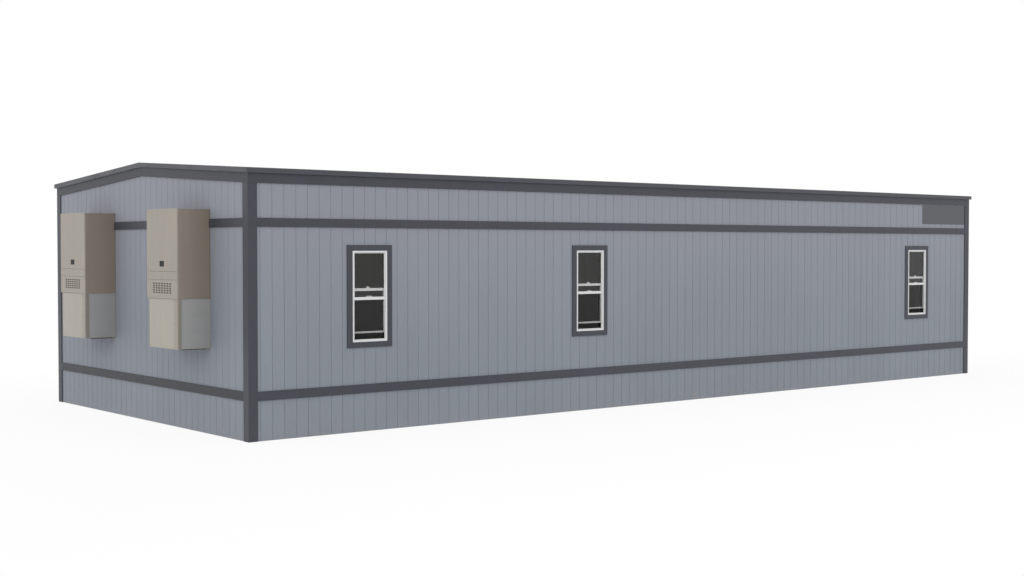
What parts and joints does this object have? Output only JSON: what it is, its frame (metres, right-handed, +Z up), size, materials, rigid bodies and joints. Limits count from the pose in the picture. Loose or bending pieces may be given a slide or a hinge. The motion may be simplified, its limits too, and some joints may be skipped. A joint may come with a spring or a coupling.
{
  "type": "portable site cabin",
  "caption": "Portable site cabin of two long modules under one low gable roof, with grooved grey cladding, dark trim boards, raised single-hung windows and tall wall units on one end.",
  "frame": {"origin": "on the ground under the middle of the cabin's floor frame, at the bottom of the centre pier", "axes": "+X along the cabin's length, away from the end with the wall units; +Y from the front long side towards the back; +Z up"},
  "size_m": [18.919, 7.307, 4.2604],
  "materials": {
    "siding": "satin",
    "trim": "satin",
    "roof": "matte",
    "roof_edge": "satin",
    "window_frame": "satin",
    "glass": "gloss",
    "insect_screen": "matte",
    "lining": "matte",
    "floor": "matte",
    "timber": "matte",
    "concrete": "matte",
    "steel": "satin",
    "unit_cabinet": "satin",
    "unit_front": "satin",
    "unit_lower": "satin",
    "unit_grille": "satin",
    "door": "satin",
    "door_metal": "satin"
  },
  "bodies": {
    "root": {"support_piers": "concrete", "chassis_beams": "steel", "floor_decks": "floor", "side_walls": "lining", "end_walls": "lining", "wall_infills": "lining", "ceiling": "lining", "side_siding": "siding", "end_siding": "siding", "upper_siding": "siding", "gable_siding": "siding", "side_skirting": "siding", "end_skirting": "siding", "skirting_rails": "timber", "corner_boards": "trim", "base_bands": "trim", "top_bands": "trim", "eave_boards": "trim", "rake_boards": "trim", "front_roof": "roof", "back_roof": "roof", "eave_edge_trim": "roof_edge", "rake_edge_trim": "roof_edge", "ridge_cap": "roof_edge", "window_casings": "trim", "window_jambs": "window_frame", "window_heads": "window_frame", "window_sills": "window_frame", "upper_sashes": "window_frame", "lower_sashes": "window_frame", "window_panes": "glass", "sash_locks": "window_frame", "window_screens": "insect_screen", "door_casing": "trim", "door_frame": "window_frame", "door_leaf": "door", "door_threshold": "door_metal", "door_handle": "door_metal", "unit_cabinets": "unit_cabinet", "unit_upper_panels": "unit_front", "unit_access_panels": "unit_front", "unit_vent_panels": "unit_front", "unit_lower_panels": "unit_lower", "unit_side_grilles": "unit_grille", "unit_top_caps": "unit_cabinet", "unit_brackets": "steel"}
  },
  "joints": []
}
